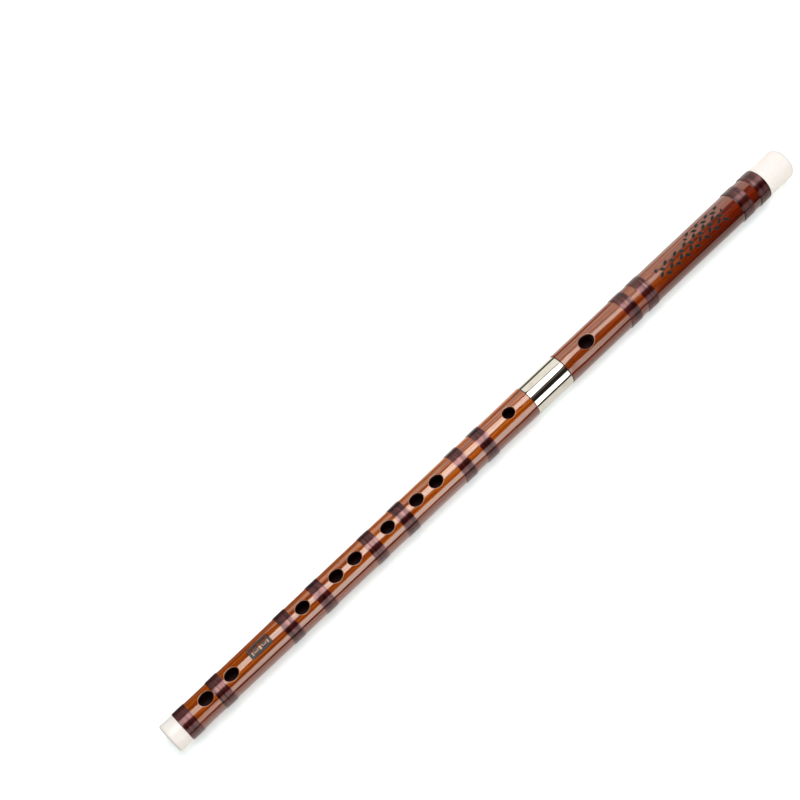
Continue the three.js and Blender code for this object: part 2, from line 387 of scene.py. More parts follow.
def feed(node: bpy.types.Node, inputs: dict[Any, Any]) -> None:
    """Fills a node's inputs.

    Args:
        node: the node.
        inputs: for each input, by name or number, a value, a hex colour, or the term to link.
    """
    for key, value in inputs.items():
        if isinstance(value, Term):
            node.id_data.links.new(value.socket, node.inputs[key])
        else:
            node.inputs[key].default_value = linear(value) if isinstance(value, str) else value


def add_node(tree: Tree, kind: Kind, *inputs: Any, **settings: Any) -> "Term":
    """Adds a node with its settings, values and links.

    Args:
        tree: the node tree.
        kind: kind of the node.
        inputs: values, hex colours or terms for its inputs, in the kind's order.
        settings: attributes to set on the node.

    Returns:
        The kind's output.
    """
    name, keys, output, *fixed = kind.value
    node = tree.nodes.new(f"ShaderNode{name}")
    for key, value in {**dict(*fixed), **settings}.items():
        setattr(node, key, value)
    feed(node, dict(zip(keys, inputs)))
    return Term(node.outputs[output])


@dataclass(frozen=True)
class Term:
    """An output in a node tree, as something that formulas are written with."""

    socket: bpy.types.NodeSocket

    def to(self, kind: Kind, *others: Any) -> "Term":
        """Feeds a new node with this term first and the others after it."""
        return add_node(self.socket.id_data, kind, self, *others)

    def __add__(self, other: "Term | float") -> "Term":
        """Adds another term or number."""
        return self.to(Kind.ADD, other)

    def __sub__(self, other: "Term | float") -> "Term":
        """Takes another term or number away."""
        return self.to(Kind.SUBTRACT, other)

    def __rsub__(self, other: float) -> "Term":
        """Takes this term away from a number."""
        return add_node(self.socket.id_data, Kind.SUBTRACT, other, self)

    def __mul__(self, other: "Term | float") -> "Term":
        """Multiplies by another term or number."""
        return self.to(Kind.MULTIPLY, other)

    def __pow__(self, other: float) -> "Term":
        """Raises to a power."""
        return self.to(Kind.POWER, other)

    def __gt__(self, other: float) -> "Term":
        """Gives 1 where this is greater, and 0 elsewhere."""
        return self.to(Kind.ABOVE, other)

    def __lt__(self, other: float) -> "Term":
        """Gives 1 where this is less, and 0 elsewhere."""
        return self.to(Kind.BELOW, other)

    def __abs__(self) -> "Term":
        """Drops the sign."""
        return self.to(Kind.ABSOLUTE)

    def axes(self) -> tuple["Term", "Term", "Term"]:
        """Gives the x, y and z of a vector."""
        return self.to(Kind.X), self.to(Kind.Y), self.to(Kind.Z)

    def window(self, start: float, full: float, fall: float, end: float) -> "Term":
        """Goes smoothly from 0 at start to 1 at full, and from 1 at fall to 0 at end."""
        return self.to(Kind.RAMP, start, full) * self.to(Kind.RAMP, end, fall)


def lay(colour: Any, *layers: tuple[Term, Ramp, str]) -> Any:
    """Lays colours over another.

    Args:
        colour: the colour underneath, in hex or as a term.
        layers: (marks, ramp, colour) of each, the lowest first. The ramp turns marks to its share.

    Returns:
        The mixed colour.
    """
    for marks, ramp, over in layers:
        colour = marks.to(Kind.RAMP, *ramp).to(Kind.LAY, colour, over)
    return colour


def flute_place(tree: Tree) -> tuple[Term, Term]:
    """Works out where a point lies, from Object coordinates.

    Args:
        tree: the node tree.

    Returns:
        Its place along the flute, x + middle, in mm, and its angle atan2(y, z - axis), in radians.
    """
    x, y, z = add_node(tree, Kind.PLACE).axes()
    return x * (1 / MM) + FRAME_MIDDLE, y.to(Kind.ANGLE, z - AXIS_HEIGHT * MM)


@dataclass(frozen=True)
class Marks:
    """Noise drawn out along the flute, from Object coordinates. Sizes in mm.

    Attributes:
        length: size of its marks along the flute.
        width: size of its marks across the flute.
        detail: octaves of finer noise.
        roughness: strength of those octaves.
        shift: moves the pattern, so that two of one size differ.
    """

    length: float
    width: float
    detail: float = 2.0
    roughness: float = 0.5
    shift: float = 0.0

    def term(self, tree: Tree) -> Term:
        """Adds the noise.

        Args:
            tree: the node tree.

        Returns:
            Its value, from 0 to 1.
        """
        scale = [1 / (size * MM) for size in (self.length, self.width, self.width)]
        mapped = add_node(tree, Kind.PLACE).to(Kind.MAPPING, (self.shift,) * 3, scale)
        return mapped.to(Kind.NOISE, 1.0, self.detail, self.roughness)


@dataclass(frozen=True)
class LeafSprigs:
    """Rows of small bamboo leaves on thin stems, a traditional engraved ornament. Sizes in mm.

    Leaf k of a row has its middle at start + pitch * (k + 1/2) along and rise beside the stem,
    on one side and the other in turn. It covers |y| < half width * (1 - (x / half length)^2),
    with x and y counted from its middle and turned by its lean.

    Attributes:
        first: start of every row, along the flute.
        last: end of every row.
        low: edge of the lowest row, round the flute.
        rows: number of rows.
        row_pitch: distance from row to row.
        row_shift: how much earlier each row's leaves come than the last one's, in pitches.
        late_start: how much later the last row starts.
        pitch: distance from leaf to leaf.
        soft: half of the width over which a leaf's edge and a stem's edge fade.
    """

    first: float = 417.0
    last: float = 480.5
    low: float = -7.0
    rows: int = 3
    row_pitch: float = 4.7
    row_shift: float = 0.37
    late_start: float = 30.0
    pitch: float = 4.5
    leaf_length: float = 4.9
    leaf_width: float = 2.2
    rise: float = 1.05
    lean: float = 33.0
    stem: float = 0.26
    soft: tuple[float, float] = (0.07, 0.06)

    def mask(self, tree: Tree) -> Term:
        """Builds the pattern.

        Args:
            tree: the node tree.

        Returns:
            1 on the ornament and 0 beside it.
        """
        along, turn = flute_place(tree)
        rank = (turn * MARK_RADIUS - self.low) * (1 / self.row_pitch)
        row = rank.to(Kind.FLOOR)
        across = (rank.to(Kind.FRACTION) - 0.5) * self.row_pitch
        begun = along - (row > self.rows - 1.5) * self.late_start > self.first
        inside = begun * (along < self.last) * (rank > 0.0) * (rank < self.rows)
        count = (along - self.first) * (1 / self.pitch) + row * self.row_shift
        side = 1.0 - count.to(Kind.FLOOR).to(Kind.MODULO, 2.0) * 2.0
        u = (count.to(Kind.FRACTION) - 0.5) * self.pitch
        v = across * side - self.rise
        cos, sin = math.cos(math.radians(self.lean)), math.sin(math.radians(self.lean))
        x, y = u * cos + v * sin, v * cos - u * sin
        width = (1.0 - (x * (2 / self.leaf_length)) ** 2.0) * (self.leaf_width / 2)
        leaf_soft, stem_soft = self.soft
        leaf = (width - abs(y)).to(Kind.RAMP, -leaf_soft, leaf_soft)
        stem = abs(across).to(Kind.RAMP, self.stem / 2 + stem_soft, self.stem / 2 - stem_soft)
        return leaf.to(Kind.MOST, stem) * inside


@dataclass(frozen=True)
class LatticeBlock:
    """A rounded frame round two nested squares, as in a traditional window lattice. Sizes in mm.

    With p the point's distances from the block's middle and q = |p| - (half - corner), the
    distance to the frame's edge is |max(q, 0)| + min(max(q), 0) - corner. The frame's lines are
    where it is near one of their depths. The squares' lines are where the greater of the two
    distances from a square's middle is near a ring.

    Attributes:
        middle: place of the block along and round the flute.
        half: half of its length and width.
        corner: radius of the frame's corners.
        frame_lines: depth of the frame's two lines inside its edge.
        cell: distance of each square's middle from the block's.
        rings: half sizes of the nested squares.
        line: width of a line.
        soft: half of the width over which a line's edge fades.
    """

    middle: tuple[float, float] = (66.5, 0.7)
    half: tuple[float, float] = (8.4, 4.4)
    corner: float = 1.5
    frame_lines: tuple[float, float] = (0.42, 1.45)
    cell: float = 3.2
    rings: tuple[float, float] = (2.1, 0.75)
    line: float = 0.78
    soft: float = 0.07

    def mask(self, tree: Tree) -> Term:
        """Builds the pattern.

        Args:
            tree: the node tree.

        Returns:
            1 on its lines, 0.5 on its ground coat and 0 beside it.
        """
        along, turn = flute_place(tree)
        u, v = (abs(at - middle) for at, middle in zip((along, turn * MARK_RADIUS), self.middle))
        q = [p - (half - self.corner) for p, half in zip((u, v), self.half)]
        out = [each.to(Kind.MOST, 0.0) ** 2.0 for each in q]
        within = q[0].to(Kind.MOST, q[1]).to(Kind.LEAST, 0.0)
        depth = self.corner - ((out[0] + out[1]).to(Kind.ROOT) + within)
        reach = abs(u - self.cell).to(Kind.MOST, v)
        outer, inner = self.frame_lines
        frame_coat = self.near(depth, (outer + inner) / 2, inner - outer)
        drawn = frame_coat.to(Kind.MOST, self.near(reach, 0.0, 2 * self.rings[-1])) * 0.5
        for distance, spots in ((depth, self.frame_lines), (reach, self.rings)):
            for spot in spots:
                drawn = drawn.to(Kind.MOST, self.near(distance, spot, self.line))
        return drawn * (depth > 0.0)

    def near(self, value: Term, spot: float, width: float) -> Term:
        """Returns 1 where the value is within half the width of the spot, and 0 beyond."""
        return abs(value - spot).to(Kind.RAMP, width / 2 + self.soft, width / 2 - self.soft)


@dataclass(frozen=True)
class Finish:
    """A finish made of shader nodes."""

    name: str

    def material(self) -> bpy.types.Material:
        """Builds the node material.

        Returns:
            The material.
        """
        material = bpy.data.materials.new(self.name)
        material.use_nodes = True
        self.dress(material.node_tree)
        return material

    def dress(self, tree: Tree) -> None:
        """Feeds the shader in a new material's tree."""
        feed(tree.nodes["Principled BSDF"], self.inputs(tree))

    def inputs(self, tree: Tree) -> dict[str, Any]:
        """Works out what feeds each input of the shader, by its name."""
        raise NotImplementedError


@dataclass(frozen=True)
class MarkedFinish(Finish):
    """A finish of one tone with other colours over it, all shared out by marks.

    Attributes:
        tone: the colour underneath.
        layers: (marks, ramp, colour) of each colour over it. The ramp turns marks to its share.
        gloss: the marks that set the roughness, and the ramps that they go through.
        relief: marks that stand out, their strength, and their depth in metres.
        uniform: (input of the shader, value) of all that is the same everywhere.
    """

    tone: str
    layers: tuple[tuple[Marks, Ramp, str], ...]
    gloss: tuple[Any, ...]
    relief: tuple[Marks, float, float]
    uniform: tuple[tuple[str, Any], ...] = ()

    def inputs(self, tree: Tree) -> dict[str, Any]:
        """Lays the colours, and lets marks set the gloss and the relief.

        Args:
            tree: the node tree.

        Returns:
            What feeds each input of the shader.
        """
        glossy, *ramps = self.gloss
        raised, *relief = self.relief
        terms = {marks: marks.term(tree)
                 for marks in {glossy, raised, *(layer[0] for layer in self.layers)}}
        roughness = terms[glossy]
        for ramp in ramps:
            roughness = roughness.to(Kind.RAMP, *ramp)
        layers = ((terms[marks], ramp, over) for marks, ramp, over in self.layers)
        return {"Base Color": lay(self.tone, *layers), "Roughness": roughness,
                "Normal": add_node(tree, Kind.RAISE, *relief, terms[raised]), **dict(self.uniform)}


# Dark lacquer brushed inside the bore and on the walls of the holes. The eye sees a very dark
# red brown with a dull gloss and slight brush ridges.
BRUSHED = Marks(10.0, 0.5)
BORE_LACQUER = MarkedFinish(
    "bore_lacquer", "#3d0f08", layers=((BRUSHED, (0.45, 0.8), "#54190e"),),
    gloss=(BRUSHED, (0.3, 0.7, 0.5, 0.65)), relief=(BRUSHED, 0.4, 0.03 * MM))

# The rounded rim of a hole, where the stain is sanded through and lacquered over. The eye sees
# a thin bright line round each hole, partly pale wood and partly a painted highlight laid into
# its colour, broken by darker fibres, with the same gloss as the outside.
SANDED = Marks(3.2, 0.4)
WORN_RIM_WITH_HIGHLIGHT = MarkedFinish(
    "worn_rim_with_painted_highlight", "#bf8258", layers=((SANDED, (0.35, 0.65), "#e0b698"),),
    gloss=(SANDED, (0.3, 0.7, 0.35, 0.2)), relief=(SANDED, 0.3, 0.02 * MM),
    uniform=(("IOR", 1.52), ("Specular IOR Level", 1.0)))

# Nickel silver tube, turned and buffed bright. The eye sees a nearly colourless mirror with a
# faint warm cast, fine polishing lines that run round the tube, and a little haze where fingers
# have touched it. The lines are a few hundredths of a millimetre, drawn at 0.12 mm to show.
TOUCHED = Marks(6.0, 6.0, 3)
NICKEL_SILVER = MarkedFinish(
    "nickel_silver", "#d9d5cb", layers=((TOUCHED, (0.4, 0.75), "#d0cac0"),),
    gloss=(TOUCHED, (0.4, 0.75), (0.0, 1.0, 0.02, 0.05)),
    relief=(Marks(0.12, 30.0, 2, 0.6), 0.05, 0.006 * MM), uniform=(("Metallic", 1.0),))

# Warm white moulded plastic that stands in for bone, buffed after turning. The eye sees a clean
# warm white with a soft glow, a satin shine, and a very faint streak along the cap, as of bone.
SCRATCHED = Marks(0.2, 12.0, 2, 0.6)
MOULDED_CAP = MarkedFinish(
    "moulded_cap", "#fcf7f4", layers=((Marks(13.2, 1.1, 3, 0.6), (0.45, 0.8), "#f7f0ea"),),
    gloss=(SCRATCHED, (0.2, 0.8, 0.2, 0.3)), relief=(SCRATCHED, 0.15, 0.01 * MM),
    uniform=(("IOR", 1.5), ("Subsurface Weight", 0.15), ("Subsurface Radius", (1.0, 0.8, 0.6)),
             ("Subsurface Scale", 0.6 * MM)))

# Natural cork, ground to a plug and left bare. The eye sees a dry tan surface, mottled cell by
# cell, with darker pits and lines.
CELLS = Marks(0.9, 0.9, 4, 0.65)
RAW_CORK = MarkedFinish(
    "raw_cork", "#b58a58", layers=((CELLS, (0.35, 0.65), "#c9a273"),
                                   (Marks(2.2, 1.1, 2, 0.5, 4.2), (0.62, 0.72), "#5d3b22")),
    gloss=(CELLS, (0.2, 0.8, 0.75, 0.95)), relief=(CELLS, 0.6, 0.1 * MM))


@dataclass(frozen=True)
class LacqueredBamboo(Finish):
    """Bitter bamboo, scraped, stained and polished under several coats of clear lacquer.

    The eye sees long straight fibres in a warm brown, with short dark dashes where the vessels
    come to the surface, all under a deep gloss that mirrors the lamps in crisp strips. One side
    of the tube is darkened with painted shade, and the side that faces the light is paler with
    painted light. An engraved ornament is filled with dull pigments, dark in its lines and grey
    in its ground.
    """

    stain: str
    shade: str
    glow: str
    dark: str
    vessel: str
    ornament: LeafSprigs | LatticeBlock
    # painted shade: one side of the tube, of these angles in degrees, is darkened as if it lay in
    # shade
    shade_side_tint: str = "#bc967a"
    shade_side: Ramp = (-165.0, -110.0, -58.0, -18.0)
    # painted light: the other side, which faces the light, is laid paler, and it is polished less
    lit_side: Ramp = (28.0, 62.0)
    painted_light_share: float = 0.25
    less_polish: float = 0.35
    # the stain gets darker and redder over this stretch of the flute, in mm
    end_tint: str = "#ffffff"
    end_span: Ramp = (400.0, 495.0)
    clouds: Marks = Marks(220.0, 6.0)
    streaks: Marks = Marks(150.0, 1.3, 2, 0.55, 9.4)
    fibres: Marks = Marks(60.0, 0.55, 2, 0.6, 3.1)
    # real vessels are about 0.15 mm wide, and they are drawn three times as coarse to show at all
    vessels: Marks = Marks(4.5, 0.45, 1, 0.5, 7.7)
    ripples: Marks = Marks(81.0, 9.0, 1, 0.4, 1.3)
    clouding: Ramp = (0.2, 0.8, 0.0, 0.7)
    pale_streaks: Ramp = (0.5, 0.68, 0.0, 0.8)
    dark_streaks: Ramp = (0.48, 0.34, 0.0, 0.8)
    pale_fibres: Ramp = (0.5, 0.66, 0.0, 0.8)
    dark_fibres: Ramp = (0.46, 0.34, 0.0, 0.85)
    vessel_marks: Ramp = (0.62, 0.72, 0.0, 0.75)
    pigment: str = "#121413"
    ground: str = "#6c7072"
    lines: Ramp = (0.6, 0.85, 0.0, 0.95)
    coated: Ramp = (0.2, 0.45)
    ground_share: float = 0.9
    # what the pigments add to the roughness, and the share that they take from the gloss
    dull: tuple[float, float] = (0.4, 0.8)
    roughness: Ramp = (0.2, 0.8, 0.03, 0.06)
    # strength of each relief, and its depth in metres
    ripple_relief: tuple[float, float] = (0.5, 0.03 * MM)
    fibre_relief: tuple[float, float] = (0.5, 0.016 * MM)
    cut_relief: tuple[float, float] = (0.6, 0.08 * MM)
    ior: float = 1.52
    coat: float = 0.4
    gloss_tint: str = "#fffcf0"

    def inputs(self, tree: Tree) -> dict[str, Any]:
        """Lays stain, grain and ornament under the coats of lacquer.

        Args:
            tree: the node tree.

        Returns:
            What feeds each input of the shader.
        """
        cloud, streak, fibre, dash, ripple = (
            marks.term(tree)
            for marks in (self.clouds, self.streaks, self.fibres, self.vessels, self.ripples))
        colour = lay(self.stain, (cloud, self.clouding, self.shade),
                     (streak, self.pale_streaks, self.glow), (streak, self.dark_streaks, self.dark),
                     (fibre, self.pale_fibres, self.glow), (fibre, self.dark_fibres, self.dark),
                     (dash, self.vessel_marks, self.vessel))
        along, turn = flute_place(tree)
        turned = turn * DEGREES
        # painted shade darkens one side of the tube
        colour = turned.window(*self.shade_side).to(Kind.TINT, colour, self.shade_side_tint)
        # painted light lays the paler colour on the side that faces the light; that side is also
        # polished less
        pale = turned.to(Kind.RAMP, *self.lit_side)
        colour = (pale * self.painted_light_share).to(Kind.LAY, colour, self.glow)
        colour = along.to(Kind.RAMP, *self.end_span).to(Kind.TINT, colour, self.end_tint)
        engraved = self.ornament.mask(tree)
        covered = engraved.to(Kind.RAMP, *self.coated)
        colour = (covered * self.ground_share).to(Kind.LAY, colour, self.ground)
        colour = lay(colour, (engraved, self.lines, self.pigment))
        rippled = add_node(tree, Kind.RAISE, *self.ripple_relief, ripple)
        grained = add_node(tree, Kind.RAISE, *self.fibre_relief, fibre, rippled)
        rougher, duller = self.dull
        # several coats of lacquer mirror more than one clean surface does: twice the usual level
        polish = (1.0 - pale * self.less_polish) * (1.0 - covered * duller)
        return {
            "Base Color": colour, "IOR": self.ior, "Specular IOR Level": polish,
            "Roughness": streak.to(Kind.RAMP, *self.roughness) + covered * rougher,
            "Normal": add_node(tree, Kind.ENGRAVE, *self.cut_relief, engraved, grained),
            "Specular Tint": self.gloss_tint, "Coat Weight": polish * self.coat,
            "Coat Roughness": 0.03, "Coat IOR": self.ior, "Coat Normal": rippled,
        }


@dataclass(frozen=True)
class LacqueredThread(Finish):
    """Dyed nylon thread, wound tight and flooded with lacquer.

    The eye sees a dark plum band of fine ribs, with a pinkish gloss on every rib where it
    mirrors a lamp, grooves between them darkened with painted shade, and a slight change of
    tone from turn to turn.
    """

    name: str = "lacquered_thread"
    dye: str = "#460f0d"
    deep: str = "#1e0403"
    faded: str = "#561a17"
    stains: Marks = Marks(1.1, 9.0, 1, 0.5, 2.4)
    # filaments are about 0.03 mm, drawn at 0.1 mm to show at all
    filaments: Marks = Marks(0.1, 2.5, 2, 0.6)
    turn_contrast: float = 0.6
    # heights from groove to crest turned into shares, which darken the grooves with painted shade
    # and dull their gloss
    groove: Ramp = (0.4, 0.95, 0.12, 1.0)
    darker: Ramp = (0.5, 0.25)
    paler: Ramp = (0.5, 0.75, 0.0, 0.8)
    between: Ramp = (0.55, 0.35, 0.0, 0.5)
    roughness: Ramp = (0.2, 0.8, 0.07, 0.14)
    shine: Ramp = (0.2, 0.8, 0.55, 1.15)
    # strength of the relief, and its depth in metres
    relief: tuple[float, float] = (0.3, 0.03 * MM)
    gloss_tint: str = "#ffb8b8"
    # lacquer over close thread mirrors more than one clean surface does
    ior: float = 1.92
    coat: float = 0.4
    # fingers polish the bands on their front, between the middle two of these angles in degrees
    polished: Ramp = (-34.0, -20.0, 14.0, 26.0)
    unpolished: float = 0.32

    def inputs(self, tree: Tree) -> dict[str, Any]:
        """Tones the thread turn by turn, and dulls it in its grooves and away from its front.

        Args:
            tree: the node tree.

        Returns:
            What feeds each input of the shader.
        """
        turn, height = (add_node(tree, Kind.ATTRIBUTE, attribute_name=name)
                        for name in (TURN_TONE, THREAD_CREST))
        tone = (turn - 0.5) * self.turn_contrast + self.stains.term(tree)
        filament = self.filaments.term(tree)
        crest = height.to(Kind.RAMP, *self.groove)
        colour = lay(self.dye, (tone, self.darker, self.deep), (tone, self.paler, self.faded),
                     (filament, self.between, self.deep))
        front = (flute_place(tree)[1] * DEGREES).window(*self.polished)
        polish = front * (1 - self.unpolished) + self.unpolished
        return {
            # painted shade: the base colour goes to the deep tone down in the grooves
            "Base Color": crest.to(Kind.LAY, self.deep, colour), "IOR": self.ior,
            "Roughness": tone.to(Kind.RAMP, *self.roughness),
            "Normal": add_node(tree, Kind.RAISE, *self.relief, filament),
            "Specular IOR Level": crest * polish * tone.to(Kind.RAMP, *self.shine),
            "Specular Tint": self.gloss_tint, "Coat Weight": crest * self.coat,
            "Coat Roughness": 0.08, "Coat IOR": self.ior,
        }


@dataclass(frozen=True)
class Hole:
    """An oval hole through the bamboo wall. Sizes in mm, turn in degrees from the top.

    Attributes:
        along: place of its middle along the flute.
        length: size along the flute.
        width: size across the flute.
        turn: how far its row is turned about the flute, from +Z towards +Y.
        lip: how far the rounded rim reaches out from the wall.
        lip_depth: how deep the rounded rim goes.
    """

    along: float
    length: float
    width: float
    turn: float = 0.0
    lip: float = 0.42
    lip_depth: float = 0.4


@dataclass(frozen=True)
class Wander:
    """How a bamboo wall strays from a true round, in mm.

    The stray is a sum of waves, amplitude * cos(lobes * angle + phase + 2 pi * along / length),
    each with its own number of lobes and its own slow drift along the tube.
    """

    amplitude: float
    seed: int
    waves: int = 7
    lobes: tuple[int, int] = (2, 6)
    lengths: tuple[float, float] = (70, 320)
    sizes: tuple[float, float] = (0.4, 1.0)

    def at(self, along: np.ndarray, angle: np.ndarray) -> np.ndarray:
        """Works out the stray.

        Args:
            along: places along the flute, in mm.
            angle: angles about the flute, in radians.

        Returns:
            What is added to the radius at each place, in mm.
        """
        chance = np.random.default_rng(self.seed)
        lobes = chance.integers(*self.lobes, self.waves)
        phase = chance.uniform(0, 2 * np.pi, self.waves)
        length = chance.uniform(*self.lengths, self.waves) * chance.choice([-1, 1], self.waves)
        size = self.amplitude * chance.uniform(*self.sizes, self.waves) / lobes
        turn = lobes * angle[..., None] + phase + 2 * np.pi * along[..., None] / length
        return (size * np.cos(turn)).sum(-1)


@dataclass
class BambooTube:
    """One bamboo section: a tapered tube, turned down at its ends and pierced by oval holes.

    Attributes:
        name: name of the piece.
        node: the CAD node that it stands for.
        body: the body that it rides on.
        slot: the record's slot of the piece, handed to place, which does not use it.
        first: start of the plain tube, where the bore and the outside run side by side, in mm.
        last: end of the plain tube, in mm.
        far_end: profile corners from the outside at last round to the bore.
        near_end: profile corners from the bore at first round to the outside.
        holes: the holes.
        finish: lacquer over the outside.
        wander: how the wall strays from a true round.
        sides: number of vertices round the tube.
        step: distance of the rings along it, in mm.
        lacquered: profile points at each end that still have the outside's finish.
        calm: length over which the stray fades to nothing at both ends, in mm.
        margin: what is taken out round a hole, in mm along and in degrees round the tube.
        blend_rings: rings from a hole's rectangle to its rim.
        blend_power: how much closer together they lie near the rim.
        lip_rings: rings over the rounded lip.
        wall: how far down the wall its rings lie, as shares of its height.
        bore_shares: how far out the rings in the bore lie, as shares of the way.
    """

    name: str
    node: str
    body: Body
    slot: Slot
    first: float
    last: float
    far_end: list[Corner]
    near_end: list[Corner]
    holes: list[Hole]
    finish: LacqueredBamboo
    wander: Wander
    sides: int = 96
    step: float = 1.9
    lacquered: int = 3
    calm: float = 6.0
    margin: tuple[float, float] = (1.6, 5.0)
    blend_rings: int = 7
    blend_power: float = 1.6
    lip_rings: int = 6
    wall: tuple[float, ...] = (0.08, 0.25, 0.5, 0.75, 1.0)
    bore_shares: tuple[float, ...] = (1 / 3, 2 / 3)

    def build(self, *hole_materials: bpy.types.Material) -> None:
        """Builds the tube and puts it in place of its CAD node.

        The profile runs up the outside, round the far end, back down the bore and round the
        near end. Each hole takes a rectangle of quads out of the outside and the same one
        out of the bore, and a patch of rings joins the two rectangles.

        Args:
            hole_materials: materials of the bore and the holes' walls, and of their rims.
        """
        stations = np.linspace(self.first, self.last,
                               1 + round((self.last - self.first) / self.step))
        outside = np.stack([stations, bamboo_radius(stations)], 1)
        bore = np.stack([stations[::-1], np.full(len(stations), BORE_RADIUS)], 1)
        far = bend_profile(self.far_end)
        profile = np.vstack([outside, far, bore, bend_profile(self.near_end)])
        angle = 2 * np.pi * np.arange(self.sides) / self.sides
        grid = grid_points(profile[:, :1], angle[None], profile[:, 1:])
        # 1 on the outside, and 0 from 0.3 mm under it
        on_outside = np.clip((grid[..., 2] - bamboo_radius(grid[..., 0]) + 0.3) / 0.1, 0, 1)
        grid[..., 2] += self.stray(grid[..., 0], grid[..., 1]) * on_outside
        surface = Surface(grid.reshape(-1, 3))
        keep = np.ones(grid.shape[:2], bool)
        for hole in self.holes:
            self.pierce(surface, keep, stations, len(outside) + len(far), hole)
        quads, row = grid_faces(*keep.shape, keep)
        inside = (row >= len(outside) + self.lacquered) & (row < len(profile) - self.lacquered)
        surface.add_faces(quads, inside)
        piece = surface.to_object(self.name, [self.finish.material(), *hole_materials])
        place(piece, self.body, self.slot, self.node)

    def stray(self, along: np.ndarray, angle: np.ndarray) -> np.ndarray:
        """Stray of the outside, faded to nothing at both ends."""
        fades = (np.clip(gap / self.calm, 0, 1) for gap in (along - self.first, self.last - along))
        return self.wander.at(along, angle) * math.prod(fades)

    def pierce(self, surface: Surface, keep: np.ndarray, stations: np.ndarray, bore_row: int,
               hole: Hole) -> None:
        """Opens one hole.

        Args:
            surface: the tube's surface, which gets the rings.
            keep: the grid's quads, from which the two rectangles are taken out.
            stations: places of the grid's rows along the tube, in mm.
            bore_row: first row of the bore, which runs the other way.
            hole: the hole.
        """
        turn, (gap, gap_angle) = math.radians(hole.turn), self.margin
        reach = hole.length / 2 + hole.lip + gap
        i0 = int(np.searchsorted(stations, hole.along - reach)) - 1
        i1 = int(np.searchsorted(stations, hole.along + reach))
        spread = math.asin(hole.width / 2 / BORE_RADIUS) + math.radians(gap_angle)
        tick = 2 * math.pi / self.sides
        j0, j1 = math.floor((turn - spread) / tick), math.ceil((turn + spread) / tick)
        up, over = np.arange(i0, i1), np.arange(j0, j1)
        i = np.concatenate([up, np.full(len(over), i1), up[::-1] + 1, np.full(len(over), i0)])
        j = np.concatenate([np.full(len(up), j0), over, np.full(len(up), j1), over[::-1] + 1])
        # the bore's row under row i of the outside is under - i
        under = bore_row + len(stations) - 1
        for rows in (up, under - 1 - up):
            keep[np.ix_(rows, over % self.sides)] = False
        rings = self.rings(hole, np.stack([stations[i] - hole.along, j * tick - turn], 1))
        block = np.concatenate(rings) + (hole.along, turn, 0)
        outer = self.blend_rings + self.lip_rings
        top = block[:outer * len(i)]
        top[:, 2] += self.stray(top[:, 0], top[:, 1])
        numbers = surface.add_points(block) + np.arange(len(block)).reshape(len(rings), -1)
        edges = [row * self.sides + j % self.sides for row in (i, under - i)]
        numbers = np.vstack([edges[0], numbers, edges[1]])
        beside = np.roll(numbers, -1, axis=1)
        quads = np.stack([numbers[:-1], beside[:-1], beside[1:], numbers[1:]], -1).reshape(-1, 4)
        ring = np.repeat(np.arange(len(numbers) - 1), len(i))
        on_rim = (ring > self.blend_rings + 1) & (ring <= outer)
        surface.add_faces(quads, np.where(on_rim, 2, ring > outer))

    def rings(self, hole: Hole, edge: np.ndarray) -> list[np.ndarray]:
        """Lays rings of points from the rectangle on the outside to the one in the bore.

        They lead to the oval rim, over a rounded lip with semi-axes a + lip * (1 - sin t) at
        depth * (1 - cos t), down a straight wall, and over the bore. A point of an oval is at
        (a cos p, b sin p), with p taken from the direction of the rectangle's point that it
        answers to.

        Args:
            hole: the hole.
            edge: the rectangle's points, (along, angle) from the hole's middle.

        Returns:
            The rings, as (along, angle, radius) of their points, from the hole's middle.
        """
        a, b, radius = hole.length / 2, hole.width / 2, float(bamboo_radius(hole.along))
        p = np.arctan2(edge[:, 1] * radius / (b + hole.lip), edge[:, 0] / (a + hole.lip))
        rim, foot = (np.stack([half * np.cos(p), np.arcsin(wide * np.sin(p) / about)], 1)
                     for half, wide, about in ((a + hole.lip, b + hole.lip, radius),
                                               (a, b, BORE_RADIUS)))
        rings = []
        for t in np.linspace(0, 1, self.blend_rings + 1)[1:]:
            spot = edge + (rim - edge) * (1 - (1 - t) ** self.blend_power)
            rings.append(np.column_stack([spot, bamboo_radius(spot[:, 0] + hole.along)]))
        lip = [(hole.lip * (1 - math.sin(t)), hole.lip_depth * (1 - math.cos(t)), 0.0)
               for t in np.linspace(0, np.pi / 2, self.lip_rings + 1)[1:]]
        for out, depth, share in lip + [(0.0, hole.lip_depth, share) for share in self.wall]:
            across = (b + out) * np.sin(p)
            top = np.sqrt(radius ** 2 - across ** 2) - depth
            height = top + (np.sqrt(BORE_RADIUS ** 2 - across ** 2) - top) * share
            rings.append(np.column_stack([(a + out) * np.cos(p), np.arctan2(across, height),
                                          np.hypot(across, height)]))
        return rings + [np.column_stack([foot + (edge - foot) * t, np.full(len(p), BORE_RADIUS)])
                        for t in self.bore_shares]


